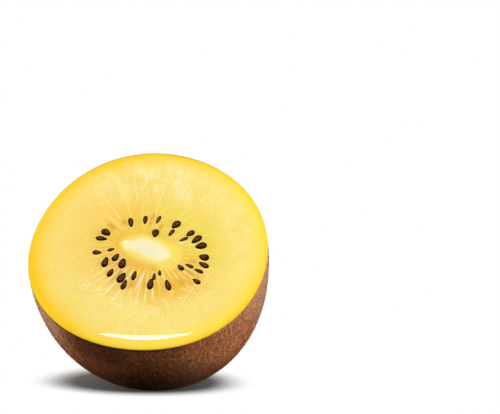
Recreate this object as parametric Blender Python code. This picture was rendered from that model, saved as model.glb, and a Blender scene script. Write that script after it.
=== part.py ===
# Half of a golden kiwi fruit, cut straight across, lying on the flat of its own skin.
#
# Lengths are in metres and angles in degrees. The fruit is modelled in the frame of its
# cut face: the origin is the middle of the face, +X points right, +Y up the face and +Z
# out of it, so the flesh lies below. An empty tilts that frame, and puts the world's
# origin in the middle of the small flat that the fruit rests on.

import math

import bmesh
import bpy
from mathutils import Matrix, Vector

# Outline of the fruit
FACE_HALF_WIDTH = 0.0270
FACE_HEIGHT_RATIO = 0.98    # the face is a little lower than it is wide
HALF_DEPTH = 0.0381         # from the cut to the stem end
FULLNESS = 2.378            # exponent of the superellipse, where 2 would be an ellipse
# Waves round the outline: how many, how high as a share of the radius, and their start
LUMPS = ((2, 0.0050, -1.80), (3, 0.0115, 1.65), (4, 0.0056, -2.20))

# How it lies
FACE_TILT = 48.0            # between the cut face and the ground
REST_DEPTH = 0.00060        # how far the skin is pressed flat where it rests

# Layers
SKIN_THICKNESS = 0.0008
LAYER_GAP = 0.0003
SEGMENTS = 60

# Stem end
SCAR_HEIGHT = 0.0009
SCAR_RADIUS = 0.0040
DIMPLE_DEPTH = 0.0006
DIMPLE_RADIUS = 0.0016
SCAR_RINGS = (0.0055, 0.0046, 0.0038, 0.0030, 0.0023, 0.0016, 0.0010, 0.0005)

# Cut face
DOME_HEIGHT = 0.00075       # the flesh bulges this far out of its skin
DOME_POWER = 6
FACE_SEGMENTS = 120
FACE_RINGS = (0.0, 0.07, 0.16, 0.26, 0.36, 0.46, 0.58, 0.71, 0.84, 0.94, 1.0)
RAY_COUNT = 40
RAY_RELIEF = 0.00012
RAY_END = 0.71              # the rays fade out this far from the core to the rim

# Core
CORE_CENTRE = (-0.0002, -0.0001)
CORE_HALF_LENGTH = 0.0058
CORE_HALF_WIDTH = 0.0024
CORE_BEARING = -19.0
CORE_DEPTH = 0.030
CORE_BULGE = 0.00015
CORE_SEGMENTS = 40
CORE_RINGS = 6

# Seeds, in one uneven ring round the core. Each is a turn round the ring, a reach, where 1.0
# is on the ring and less is nearer to the core, a width and a length in millimetres, and a
# twist off the way that points away from the core.
RING_CENTRE = (0.0008, -0.0011)
RING_HALF_LENGTH = 0.0122
RING_HALF_WIDTH = 0.0087
RING_BEARING = -10.0
SEEDS = (
    (8, 0.99, 1.65, 2.15, -13), (28, 0.98, 1.7, 2.45, 4), (40, 0.98, 1.45, 2.65, 21),
    (48, 0.77, 0.8, 2.2, -8), (52, 0.98, 1.3, 2.1, 1), (70, 0.75, 0.85, 2.1, -10),
    (73, 1.01, 1.65, 2.3, -15), (93, 0.61, 1.5, 2.05, 14), (93, 1.03, 0.75, 2.2, -2),
    (107, 1.0, 0.95, 2.15, 13), (124, 0.97, 1.1, 2.45, -3), (158, 1.01, 1.6, 2.2, -10),
    (170, 1.0, 1.2, 2.45, 5), (188, 0.75, 0.8, 1.55, 8), (195, 1.02, 1.15, 1.85, -15),
    (207, 0.69, 1.25, 2.2, 20), (213, 0.93, 1.4, 2.65, 42), (225, 0.65, 1.6, 2.6, 17),
    (232, 1.01, 1.15, 2.2, 10), (246, 0.97, 1.65, 2.75, -6), (254, 1.12, 1.1, 2.7, 2),
    (257, 0.78, 0.95, 2.5, 8), (280, 0.94, 1.35, 2.75, 4), (285, 0.72, 0.6, 1.7, 4),
    (296, 0.61, 0.5, 1.2, 0), (299, 0.99, 1.15, 2.9, 2), (328, 1.15, 1.05, 2.0, 3),
    (335, 0.68, 1.05, 1.8, -11), (343, 1.0, 0.85, 2.25, -2), (346, 0.79, 0.8, 2.1, -2),
    (355, 1.02, 1.2, 2.5, -15))
SEED_AIM = 0.0030           # half of the stretch of the core that the seeds point away from
SEED_PROUD = 0.27           # how far a seed's back stands above the flesh, for its width
SEED_SUNK = 0.46
SEED_SIDES = 8
SEED_RINGS = 5


def material(name, colour, roughness):
    made = bpy.data.materials.new(name)
    made.use_nodes = True
    shader = made.node_tree.nodes["Principled BSDF"]
    shader.inputs["Base Color"].default_value = (*colour, 1.0)
    shader.inputs["Roughness"].default_value = roughness
    shader.inputs["Metallic"].default_value = 0.0
    return made


def add_object(name, bm, parent, made_of):
    bmesh.ops.recalc_face_normals(bm, faces=bm.faces)
    mesh = bpy.data.meshes.new(name)
    bm.to_mesh(mesh)
    bm.free()
    mesh.shade_smooth()
    mesh.set_sharp_from_angle(angle=math.radians(40))
    mesh.materials.append(made_of)
    piece = bpy.data.objects.new(name, mesh)
    piece.parent = parent
    bpy.context.scene.collection.objects.link(piece)
    return piece


# The outline is a superellipse, (r / a)^p + (s / c)^p = 1, turned about the face's axis.


def outline_at_angle(angle):
    radius = FACE_HALF_WIDTH * math.cos(angle) ** (2 / FULLNESS)
    depth = HALF_DEPTH * math.sin(angle) ** (2 / FULLNESS)
    return radius, depth


def outline_at_radius(radius):
    share = (radius / FACE_HALF_WIDTH) ** FULLNESS
    return radius, HALF_DEPTH * (1 - share) ** (1 / FULLNESS)


def inset(outline, distance):
    radius, depth = outline
    out_radius = (radius / FACE_HALF_WIDTH) ** (FULLNESS - 1) / FACE_HALF_WIDTH
    out_depth = (depth / HALF_DEPTH) ** (FULLNESS - 1) / HALF_DEPTH
    size = math.hypot(out_radius, out_depth)
    return radius - distance * out_radius / size, depth - distance * out_depth / size


def scar(radius):
    rim = SCAR_HEIGHT * math.exp(-(radius / SCAR_RADIUS) ** 4)
    return rim - DIMPLE_DEPTH * math.exp(-(radius / DIMPLE_RADIUS) ** 2)


def place(outline, bearing, raised=0.0):
    # The lumps fade out toward the stem end.
    radius, depth = outline
    fade = 1 - min(depth / HALF_DEPTH, 1.0) ** 2
    radius *= 1 + fade * sum(share * math.cos(count * bearing + start)
                             for count, share, start in LUMPS)
    across = radius * math.cos(bearing)
    up = radius * FACE_HEIGHT_RATIO * math.sin(bearing)
    return Vector((across, up, -depth - raised))


# Solids are stacked rings of vertices, stitched together and closed at their ends.


def bearings(count):
    return [math.tau * i / count for i in range(count)]


def add_ring(bm, points):
    return [bm.verts.new(point) for point in points]


def stitch(bm, fine, coarse):
    # The finer ring has a whole number of vertices for each one of the coarser ring.
    count = len(coarse)
    share = len(fine) // count
    for i in range(count):
        near = coarse[i]
        far = coarse[(i + 1) % count]
        for j in range(share):
            first = fine[(share * i + j) % len(fine)]
            second = fine[(share * i + j + 1) % len(fine)]
            bm.faces.new((first, second, near if 2 * j < share else far))
        middle = fine[(share * i + (share + 1) // 2) % len(fine)]
        bm.faces.new((near, middle, far))


def close_with_point(bm, ring, point):
    tip = bm.verts.new(point)
    for i, vertex in enumerate(ring):
        bm.faces.new((vertex, ring[(i + 1) % len(ring)], tip))


def stack(bm, rings):
    for upper, lower in zip(rings, rings[1:]):
        if len(upper) >= len(lower):
            stitch(bm, upper, lower)
        else:
            stitch(bm, lower, upper)


def shell_rings(bm, distance, ring_count, near_tip=()):
    turns = [math.radians(90) * i / ring_count for i in range(ring_count)]
    outlines = [outline_at_angle(turn) for turn in turns]
    outlines = [line for line in outlines if not near_tip or line[0] > near_tip[0] * 1.1]
    outlines += [outline_at_radius(radius) for radius in near_tip]
    rings = []
    for line in outlines:
        raised = scar(line[0]) if distance == 0 else 0.0
        layer = inset(line, distance)
        rings.append(add_ring(bm, [place(layer, b, raised) for b in bearings(SEGMENTS)]))
    return rings


def ellipse(centre, half_length, half_width, bearing, turn):
    along = half_length * math.cos(turn)
    across = half_width * math.sin(turn)
    cosine = math.cos(math.radians(bearing))
    sine = math.sin(math.radians(bearing))
    return (centre[0] + along * cosine - across * sine,
            centre[1] + along * sine + across * cosine)


def core_ring(turn_down, grow, segments):
    # The core is the lower half of an ellipsoid. Its rings turn with the face's rings.
    narrow = math.cos(turn_down)
    depth = (CORE_DEPTH + grow) * math.sin(turn_down)
    points = []
    for bearing in bearings(segments):
        x, y = ellipse(CORE_CENTRE, (CORE_HALF_LENGTH + grow) * narrow,
                       (CORE_HALF_WIDTH + grow) * narrow, CORE_BEARING,
                       bearing - math.radians(CORE_BEARING))
        points.append(Vector((x, y, DOME_HEIGHT - depth)))
    return points


def dome(x, y):
    rim = inset(outline_at_angle(0.0), SKIN_THICKNESS + LAYER_GAP)[0]
    out = min(math.hypot(x, y / FACE_HEIGHT_RATIO) / rim, 1.0)
    return DOME_HEIGHT * (1 - out ** DOME_POWER)


def ray_relief(bearing, share):
    # Low ribs fan out from the core and die away before they reach the rim.
    if share > RAY_END:
        return 0.0
    return RAY_RELIEF * math.sin(math.pi * share / RAY_END) * math.cos(RAY_COUNT * bearing)


def build_skin(parent):
    bm = bmesh.new()
    outer = shell_rings(bm, 0.0, 18, SCAR_RINGS)
    inner = shell_rings(bm, SKIN_THICKNESS, 11)
    stack(bm, outer)
    stack(bm, inner)
    stitch(bm, outer[0], inner[0])
    close_with_point(bm, outer[-1], place((0.0, HALF_DEPTH), 0.0, scar(0.0)))
    close_with_point(bm, inner[-1], place((0.0, HALF_DEPTH - SKIN_THICKNESS), 0.0))

    # The flat that the fruit rests on is cut where the ground's plane crosses the skin.
    ground = parent.matrix_world.inverted()
    cut = bmesh.ops.bisect_plane(
        bm, geom=bm.verts[:] + bm.edges[:] + bm.faces[:], dist=1e-7,
        plane_co=ground @ Vector((0, 0, 0)), plane_no=ground.to_3x3() @ Vector((0, 0, 1)),
        clear_inner=True)
    edges = [item for item in cut["geom_cut"] if isinstance(item, bmesh.types.BMEdge)]
    bmesh.ops.contextual_create(bm, geom=edges)
    brown = material("skin", (0.20, 0.095, 0.035), 0.75)
    return add_object("skin", bm, parent, brown)


def flesh_body():
    bm = bmesh.new()
    layer = SKIN_THICKNESS + LAYER_GAP
    sides = shell_rings(bm, layer, 9)
    mouth = core_ring(0.0, LAYER_GAP, FACE_SEGMENTS)
    rim = [place(inset(outline_at_angle(0.0), layer), b) for b in bearings(FACE_SEGMENTS)]
    face = []
    for share in FACE_RINGS:
        points = []
        for inner, outer, bearing in zip(mouth, rim, bearings(FACE_SEGMENTS)):
            point = inner.lerp(outer, share)
            point.z = dome(point.x, point.y) + ray_relief(bearing, share)
            points.append(point)
        face.append(add_ring(bm, points))
    # The rim of the face takes the place of the sides' first ring.
    bmesh.ops.delete(bm, geom=sides[0], context="VERTS")
    turns = [math.radians(90) * i / CORE_RINGS for i in range(1, CORE_RINGS)]
    pocket = [add_ring(bm, core_ring(turn, LAYER_GAP, CORE_SEGMENTS)) for turn in turns]
    stack(bm, face + sides[1:])
    stack(bm, face[:1] + pocket)
    close_with_point(bm, sides[-1], place((0.0, HALF_DEPTH - layer), 0.0))
    bottom = DOME_HEIGHT - CORE_DEPTH - LAYER_GAP
    close_with_point(bm, pocket[-1], Vector((*CORE_CENTRE, bottom)))
    return bm


def seed_place(turn, reach):
    # A seed points away from the nearest place on the middle stretch of the core.
    spot = Vector(ellipse(RING_CENTRE, RING_HALF_LENGTH * reach, RING_HALF_WIDTH * reach,
                          RING_BEARING, math.radians(turn)))
    axis = Vector((math.cos(math.radians(CORE_BEARING)), math.sin(math.radians(CORE_BEARING))))
    along = (spot - Vector(CORE_CENTRE)).dot(axis)
    nearest = Vector(CORE_CENTRE) + axis * max(-SEED_AIM, min(SEED_AIM, along))
    away = spot - nearest
    return spot, math.atan2(away.y, away.x)


def build_seed(name, spot, heading, length, width):
    # A drop, blunt outward and pointed inward, lying half sunk in the flesh.
    bm = bmesh.new()
    turned = Matrix.Rotation(heading, 3, "Z")
    base = Vector((spot.x, spot.y, dome(spot.x, spot.y)))
    rings = []
    for i in range(1, SEED_RINGS + 1):
        turn = math.pi * i / (SEED_RINGS + 1)
        along = -math.cos(turn) * length / 2
        blunt = 1 + 0.35 * math.sin(turn) * along / (length / 2)
        thick = math.sin(turn) ** 1.3 * blunt
        points = []
        for bearing in bearings(SEED_SIDES):
            across = math.cos(bearing) * thick * width / 2
            height = SEED_PROUD if math.sin(bearing) > 0 else SEED_SUNK
            up = math.sin(bearing) * thick * height * width
            points.append(base + turned @ Vector((along, across, up)))
        rings.append(add_ring(bm, points))
    stack(bm, rings)
    tip = -SEED_SUNK * width / 4
    close_with_point(bm, rings[0], base + turned @ Vector((-length / 2, 0, tip)))
    close_with_point(bm, rings[-1], base + turned @ Vector((length / 2, 0, tip)))
    bmesh.ops.recalc_face_normals(bm, faces=bm.faces)
    mesh = bpy.data.meshes.new(name)
    bm.to_mesh(mesh)
    bm.free()
    return bpy.data.objects.new(name, mesh)


def build_seeds(collection):
    for i, (turn, reach, width, length, twist) in enumerate(SEEDS):
        spot, heading = seed_place(turn, reach)
        heading += math.radians(twist)
        seed = build_seed(f"seed_{i}", spot, heading, length * 0.001, width * 0.001)
        collection.objects.link(seed)


def build_flesh(parent):
    gold = material("flesh", (0.86, 0.60, 0.06), 0.35)
    flesh = add_object("flesh", flesh_body(), parent, gold)
    seeds = bpy.data.collections.new("seeds")
    bpy.context.scene.collection.children.link(seeds)
    build_seeds(seeds)
    for seed in seeds.objects:
        seed.parent = parent
    union = flesh.modifiers.new("seeds", "BOOLEAN")
    union.operation = "UNION"
    union.operand_type = "COLLECTION"
    union.collection = seeds
    union.solver = "EXACT"
    bpy.context.view_layer.update()
    evaluated = flesh.evaluated_get(bpy.context.evaluated_depsgraph_get())
    joined = bpy.data.meshes.new_from_object(evaluated)
    flesh.modifiers.clear()
    flesh.data = joined
    for seed in list(seeds.objects):
        bpy.data.objects.remove(seed, do_unlink=True)
    bpy.data.collections.remove(seeds)
    return flesh


def build_core(parent):
    bm = bmesh.new()
    turns = [math.radians(90) * i / CORE_RINGS for i in range(CORE_RINGS)]
    rings = [add_ring(bm, core_ring(turn, 0.0, CORE_SEGMENTS)) for turn in turns]
    stack(bm, rings)
    close_with_point(bm, rings[-1], Vector((*CORE_CENTRE, DOME_HEIGHT - CORE_DEPTH)))
    middle = Vector((*CORE_CENTRE, DOME_HEIGHT))
    inner = []
    for point in core_ring(0.0, 0.0, CORE_SEGMENTS):
        inner.append(point.lerp(middle, 0.4) + Vector((0, 0, 0.8 * CORE_BULGE)))
    top = add_ring(bm, inner)
    stitch(bm, rings[0], top)
    close_with_point(bm, top, middle + Vector((0, 0, CORE_BULGE)))
    cream = material("core", (0.92, 0.86, 0.58), 0.55)
    return add_object("core", bm, parent, cream)


def lying_frame():
    # The lowest point of the tilted outline is where the superellipse's support is.
    tilt = math.radians(FACE_TILT)
    up = FACE_HEIGHT_RATIO * math.sin(tilt) * FACE_HALF_WIDTH
    out = math.cos(tilt) * HALF_DEPTH
    power = FULLNESS / (FULLNESS - 1)
    reach = (up ** power + out ** power) ** (1 / power)
    radius = FACE_HALF_WIDTH * (up / reach) ** (power - 1)
    depth = HALF_DEPTH * (out / reach) ** (power - 1)
    turned = Matrix.Rotation(tilt, 4, "X")
    lowest = turned @ Vector((0.0, -FACE_HEIGHT_RATIO * radius, -depth))
    frame = bpy.data.objects.new("lying_frame", None)
    frame.rotation_euler.x = tilt
    frame.location = -lowest - Vector((0, 0, REST_DEPTH))
    frame.location.x = 0.0
    bpy.context.scene.collection.objects.link(frame)
    bpy.context.view_layer.update()
    return frame


def main():
    for old in list(bpy.data.objects):
        bpy.data.objects.remove(old, do_unlink=True)
    frame = lying_frame()
    build_skin(frame)
    build_flesh(frame)
    build_core(frame)


main()
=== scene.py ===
import math
import random

import bpy
import numpy as np
from mathutils import Matrix, Vector, noise


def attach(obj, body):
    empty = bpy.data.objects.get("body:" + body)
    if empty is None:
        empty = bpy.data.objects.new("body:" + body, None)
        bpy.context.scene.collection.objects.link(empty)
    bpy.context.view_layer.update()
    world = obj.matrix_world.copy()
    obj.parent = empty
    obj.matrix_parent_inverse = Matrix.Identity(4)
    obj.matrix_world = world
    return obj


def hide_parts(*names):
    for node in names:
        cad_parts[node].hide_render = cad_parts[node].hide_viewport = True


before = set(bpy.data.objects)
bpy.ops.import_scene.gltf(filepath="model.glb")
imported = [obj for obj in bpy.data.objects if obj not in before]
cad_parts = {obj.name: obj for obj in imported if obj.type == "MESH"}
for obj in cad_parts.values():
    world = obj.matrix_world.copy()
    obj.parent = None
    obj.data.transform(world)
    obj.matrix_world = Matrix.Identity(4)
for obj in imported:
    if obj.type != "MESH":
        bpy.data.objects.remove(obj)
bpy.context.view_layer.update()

# Half of a golden kiwi fruit, cut straight across and lying on its skin.
# The pieces are modelled in the frame of the cut face: x to the right, y up the face,
# z out of it, with the origin in the middle. That frame is then tilted back.

mm = 0.001

# Body of the fruit: its outline, and how it lies

body = {
    "halfWidth": 27.0 * mm,
    "heightRatio": 0.98,
    "halfDepth": 38.1 * mm,
    "fullness": 2.378,       # exponent of the superellipse outline
    # waves round the outline: how many, how high as a share of the radius, and their start
    "lumps": ((2, 0.0050, -1.80), (3, 0.0115, 1.65), (4, 0.0056, -2.20)),
    "faceTilt": 48.0,        # degrees from level
    "restDepth": 0.60 * mm,  # how far it is pressed in where it rests
    "domeHeight": 0.75 * mm,
    "domePower": 6,
}


def outlineAtTurn(turn):
    power = 2 / body["fullness"]
    return body["halfWidth"] * math.cos(turn) ** power, body["halfDepth"] * math.sin(turn) ** power


def insetOutline(line, distance):
    radius, depth = line
    outward = (radius / body["halfWidth"]) ** (body["fullness"] - 1) / body["halfWidth"]
    downward = (depth / body["halfDepth"]) ** (body["fullness"] - 1) / body["halfDepth"]
    size = math.hypot(outward, downward)
    return radius - distance * outward / size, depth - distance * downward / size


def placeOnBody(line, bearing, raised=0.0):
    radius, depth = line
    fade = 1 - min(depth / body["halfDepth"], 1.0) ** 2
    radius *= 1 + fade * sum(share * math.cos(count * bearing + start)
                             for count, share, start in body["lumps"])
    up = radius * body["heightRatio"] * math.sin(bearing)
    return Vector((radius * math.cos(bearing), up, -depth - raised))


def tiltedFaceFrame():
    # The lowest point of the tilted outline touches the ground, pressed in a little.
    tilt = math.radians(body["faceTilt"])
    up = body["heightRatio"] * math.sin(tilt) * body["halfWidth"]
    out = math.cos(tilt) * body["halfDepth"]
    power = body["fullness"] / (body["fullness"] - 1)
    reach = (up ** power + out ** power) ** (1 / power)
    radius = body["halfWidth"] * (up / reach) ** (power - 1)
    depth = body["halfDepth"] * (out / reach) ** (power - 1)
    turned = Matrix.Rotation(tilt, 4, "X")
    lowest = turned @ Vector((0.0, -body["heightRatio"] * radius, -depth))
    centre = Vector((0.0, -lowest.y, -lowest.z - body["restDepth"]))
    return Matrix.Translation(centre) @ turned


faceFrame = tiltedFaceFrame()
toFace = faceFrame.inverted()

# Camera, at the photograph's viewing angle

view = {
    "azimuth": 7.35,
    "elevation": 8.9,
    "distance": 600 * mm,
    "lens": 192.2,
    "sensor": 36.0,
    "imageSize": (500, 414),
    "faceCentreAt": (148.33, 250.68),   # where the middle of the face lies in the image
}


def makeCamera():
    azimuth = math.radians(view["azimuth"])
    elevation = math.radians(view["elevation"])
    back = Vector((math.sin(azimuth) * math.cos(elevation),
                   -math.cos(azimuth) * math.cos(elevation), math.sin(elevation)))
    right = Vector((math.cos(azimuth), math.sin(azimuth), 0.0))
    facing = Matrix((right, back.cross(right), back)).transposed()
    # The camera is turned, not shifted, so that the face lies left of the middle.
    width, height = view["imageSize"]
    focal = view["lens"] / view["sensor"] * width
    aside = (view["faceCentreAt"][0] - width / 2) / focal
    down = (view["faceCentreAt"][1] - height / 2) / focal
    turn = Vector((aside, -down, -1.0)).rotation_difference(Vector((0.0, 0.0, -1.0)))
    data = bpy.data.cameras.new("camera")
    data.lens = view["lens"]
    data.sensor_width = view["sensor"]
    camera = bpy.data.objects.new("camera", data)
    camera.rotation_mode = "QUATERNION"
    camera.rotation_quaternion = facing.to_quaternion() @ turn
    camera.location = faceFrame.translation + back * view["distance"]
    bpy.context.scene.collection.objects.link(camera)
    bpy.context.scene.camera = camera
    return camera


# Materials


class Signal:
    # One socket of a material, so that sums on it can be written as sums.
    def __init__(self, tree, socket=None):
        self.tree = tree
        self.socket = socket

    def node(self, kind, settings=None, values=None, out=0):
        made = self.tree.nodes.new(kind)
        for name, value in (settings or {}).items():
            setattr(made, name, value)
        for name, value in (values or {}).items():
            if isinstance(value, Signal):
                self.tree.links.new(value.socket, made.inputs[name])
            else:
                made.inputs[name].default_value = value
        return Signal(self.tree, made.outputs[out])

    def sum(self, operation, *others):
        return self.work(operation, self, *others)

    def work(self, operation, *terms):
        return self.node("ShaderNodeMath", {"operation": operation}, dict(enumerate(terms)))

    def __add__(self, other):
        return self.sum("ADD", other)

    def __sub__(self, other):
        return self.sum("SUBTRACT", other)

    def __mul__(self, other):
        return self.sum("MULTIPLY", other)

    def __truediv__(self, other):
        return self.sum("DIVIDE", other)

    def __pow__(self, other):
        return self.sum("POWER", other)

    def __radd__(self, other):
        return self.work("ADD", other, self)

    def __rsub__(self, other):
        return self.work("SUBTRACT", other, self)

    def __rmul__(self, other):
        return self.work("MULTIPLY", other, self)

    def __rtruediv__(self, other):
        return self.work("DIVIDE", other, self)

    def __rpow__(self, other):
        return self.work("POWER", other, self)

    def ramp(self, low, high, smooth=True):
        # 0 below low, 1 above high; the other way round where low is the larger.
        kind = "SMOOTHSTEP" if smooth else "LINEAR"
        return self.node("ShaderNodeMapRange", {"interpolation_type": kind, "clamp": True},
                         {"Value": self, "From Min": low, "From Max": high})

    def over(self, base, colour, strength=1.0):
        # colour laid over base where this mask is 1.
        mask = self if strength == 1.0 else self * strength
        return self.node("ShaderNodeMix", {"data_type": "RGBA", "clamp_factor": True},
                         {0: mask, 6: base, 7: colour}, 2)

    def noise(self, scale, detail=2.0, roughness=0.5):
        return self.node("ShaderNodeTexNoise", None,
                         {"Vector": self, "Scale": scale, "Detail": detail,
                          "Roughness": roughness}, "Fac")


def linear(red, green, blue):
    # A colour as seen on a screen, 0 to 255, to what the shaders take.
    def one(value):
        share = value / 255
        return share / 12.92 if share <= 0.04045 else ((share + 0.055) / 1.055) ** 2.4
    return one(red), one(green), one(blue), 1.0


def startMaterial(name, tilted=True):
    made = bpy.data.materials.new(name)
    made.use_nodes = True
    made.node_tree.nodes.clear()
    start = Signal(made.node_tree)
    place = start.node("ShaderNodeTexCoord", out="Object")
    if tilted:
        # turned back into the frame of the cut face
        place = start.node("ShaderNodeVectorMath", {"operation": "SUBTRACT"},
                           {0: place, 1: faceFrame.translation})
        place = start.node("ShaderNodeVectorRotate", {"rotation_type": "X_AXIS"},
                           {"Vector": place, "Angle": -math.radians(body["faceTilt"])})
    place = start.node("ShaderNodeVectorMath", {"operation": "SCALE"},
                       {0: place, "Scale": 1 / mm})
    return made, start, place


def finishMaterial(made, shader):
    output = made.node_tree.nodes.new("ShaderNodeOutputMaterial")
    made.node_tree.links.new(shader.socket, output.inputs["Surface"])
    return made


def splitAxes(place):
    apart = place.node("ShaderNodeSeparateXYZ", None, {0: place})
    outputs = apart.socket.node.outputs
    return [Signal(place.tree, outputs[i]) for i in range(3)]


# Cut face: where the core, the rays and the seeds lie

core = {
    "centre": (-0.2 * mm, -0.1 * mm),
    "halfLength": 5.8 * mm,
    "halfWidth": 2.4 * mm,
    "bearing": -19.0,
    "depth": 30.0 * mm,
    "rise": 0.08 * mm,
    "lens": (0.55, 0.45),    # its top falls as a cosine of this swing about this middle
    "wobble": (0.03, 4),     # of its outline, as a share, and how quickly it changes
    "unevenness": (0.02 * mm, 900),    # of its top, and how quickly it changes
    "segments": 160,
    "rings": 12,
}

rays = {
    "count": 46,
    "focus": 5.10 * mm,      # the rays leave the core as hyperbolas about these two points
    # waves that make their spacing uneven: how many, how strong, and their start
    "sway": ((3, 1.5, 1.0), (7, 1.1, 2.2)),
    "start": 7.0 * mm,
    "fadeIn": 3.0 * mm,
    "end": 17.0 * mm,
    "fadeOut": 6.0 * mm,
    "relief": 0.015 * mm,
}

seeds = {
    "ringCentre": (0.8 * mm, -1.1 * mm),
    "ringHalfLength": 12.2 * mm,
    "ringHalfWidth": 8.7 * mm,
    "ringBearing": -10.0,
    # a turn round the ring in degrees, how far out as a share of the ring, a width and a
    # length in mm, and a twist off the way that points away from the core
    "places": (
        (8, 0.99, 1.65, 2.15, -13), (28, 0.98, 1.7, 2.45, 4), (40, 0.98, 1.45, 2.65, 21),
        (48, 0.77, 0.8, 2.2, -8), (52, 0.98, 1.3, 2.1, 1), (70, 0.75, 0.85, 2.1, -10),
        (73, 1.01, 1.65, 2.3, -15), (93, 0.61, 1.5, 2.05, 14), (93, 1.03, 0.75, 2.2, -2),
        (107, 1.0, 0.95, 2.15, 13), (124, 0.97, 1.1, 2.45, -3), (158, 1.01, 1.6, 2.2, -10),
        (170, 1.0, 1.2, 2.45, 5), (188, 0.75, 0.8, 1.55, 8), (195, 1.02, 1.15, 1.85, -15),
        (207, 0.69, 1.25, 2.2, 20), (213, 0.93, 1.4, 2.65, 42), (225, 0.65, 1.6, 2.6, 17),
        (232, 1.01, 1.15, 2.2, 10), (246, 0.97, 1.65, 2.75, -6), (254, 1.12, 1.1, 2.7, 2),
        (257, 0.78, 0.95, 2.5, 8), (280, 0.94, 1.35, 2.75, 4), (285, 0.72, 0.75, 1.9, 4),
        (296, 0.61, 0.65, 1.4, 0), (299, 0.99, 1.15, 2.9, 2), (328, 1.15, 1.05, 2.0, 3),
        (335, 0.68, 1.05, 1.8, -11), (343, 1.0, 0.85, 2.25, -2), (346, 0.79, 0.8, 2.1, -2),
        (355, 1.02, 1.2, 2.5, -15)),
    # seeds that lie under the surface and show through it: a turn, how far out, and a size
    "sunken": ((146, 1.05, 1.1), (131, 1.02, 0.7), (99, 1.10, 0.9), (88, 0.84, 0.7),
               (101, 0.90, 0.6), (358, 0.80, 0.8), (315, 1.01, 1.0), (261, 1.04, 1.0),
               (334, 0.90, 1.0), (238, 0.86, 0.8)),
    "sunkenSize": (2.2 * mm, 1.1 * mm),
    "sunkenBlur": 0.14 * mm,
    # whitish streaks between them: a turn, how far out, and a length and a width in mm
    "streaks": ((267, 0.90, 5.0, 0.70), (45, 0.70, 1.3, 0.9)),
    "streakBlur": 0.12 * mm,
    "aim": 3.0 * mm,         # half of the stretch of the core that they point away from
    "proud": 0.27,           # for each unit of width
    "sunk": 0.46,
    "coat": (0.32 * mm, 0.14 * mm),   # what its wet coat adds to a seed's length and width
    "sharpness": 1.15,       # exponent of its outline, where more makes both ends pointed
    "taper": 0.35,           # how much thicker its outer half is
    "sides": 20,
    "rings": 15,
    "dark": linear(18, 3, 0),
    "brown": linear(46, 13, 0),
    # lit and fleck are painted highlight and painted glints on the tops of the seeds
    "lit": linear(112, 54, 14),
    "fleck": linear(206, 166, 120),
}


def pointOnEllipse(centre, halfLength, halfWidth, bearing, turn):
    along = halfLength * np.cos(turn)
    across = halfWidth * np.sin(turn)
    cosine = math.cos(math.radians(bearing))
    sine = math.sin(math.radians(bearing))
    return centre[0] + along * cosine - across * sine, centre[1] + along * sine + across * cosine


def seedPlace(turn, reach):
    spot = Vector(pointOnEllipse(seeds["ringCentre"], seeds["ringHalfLength"] * reach,
                                 seeds["ringHalfWidth"] * reach, seeds["ringBearing"],
                                 math.radians(turn)))
    bearing = math.radians(core["bearing"])
    axis = Vector((math.cos(bearing), math.sin(bearing)))
    along = (spot - Vector(core["centre"])).dot(axis)
    along = max(-seeds["aim"], min(seeds["aim"], along))
    away = spot - Vector(core["centre"]) - axis * along
    return spot, math.atan2(away.y, away.x)


def listSeeds():
    listed = []
    for turn, reach, width, length, twist in seeds["places"]:
        spot, heading = seedPlace(turn, reach)
        listed.append((spot, heading + math.radians(twist), length * mm, width * mm))
    return listed


seedList = listSeeds()


def domeHeight(x, y):
    out = np.minimum(np.hypot(x, y / body["heightRatio"]) / rimRadius, 1.0)
    return body["domeHeight"] * (1 - out ** body["domePower"])


def rayTurn(x, y):
    # Elliptic coordinates about the core: how far out a point is, and on which ray.
    bearing = math.radians(core["bearing"])
    offX = x - core["centre"][0]
    offY = y - core["centre"][1]
    along = offX * math.cos(bearing) + offY * math.sin(bearing)
    across = offY * math.cos(bearing) - offX * math.sin(bearing)
    near = np.hypot(along - rays["focus"], across)
    far = np.hypot(along + rays["focus"], across)
    cosine = np.clip((far - near) / (2 * rays["focus"]), -1.0, 1.0)
    turn = np.arctan2(np.sign(across) * np.sqrt(1 - cosine ** 2), cosine)
    return (near + far) / 2, turn


def rayWave(turn):
    phase = rays["count"] * turn
    for count, size, start in rays["sway"]:
        phase = phase + size * np.sin(count * turn + start)
    return np.cos(phase)


def seedDistance(x, y, seed):
    # Distance from a seed's outline, in metres, less than 0 inside it.
    spot, heading, length, width = seed
    along = (x - spot.x) * math.cos(heading) + (y - spot.y) * math.sin(heading)
    across = (y - spot.y) * math.cos(heading) - (x - spot.x) * math.sin(heading)
    share = np.hypot(along / (length / 2), across / (width / 2))
    return (share - 1) * (length + width) / 4


def softInside(away, blur):
    return 1 / (1 + np.exp(np.minimum(away / blur, 50)))


print("cut face worked out:", len(seedList), "seeds")


def makePiece(name, points, faces, material, node=None):
    mesh = bpy.data.meshes.new(name)
    mesh.from_pydata([tuple(faceFrame @ point) for point in points], [], faces)
    mesh.validate()
    mesh.shade_smooth()
    mesh.materials.append(material)
    piece = bpy.data.objects.new(name, mesh)
    bpy.context.scene.collection.objects.link(piece)
    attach(piece, "root")
    if node:
        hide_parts(node)
    return piece


def bearings(count):
    return [math.tau * i / count for i in range(count)]


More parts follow.
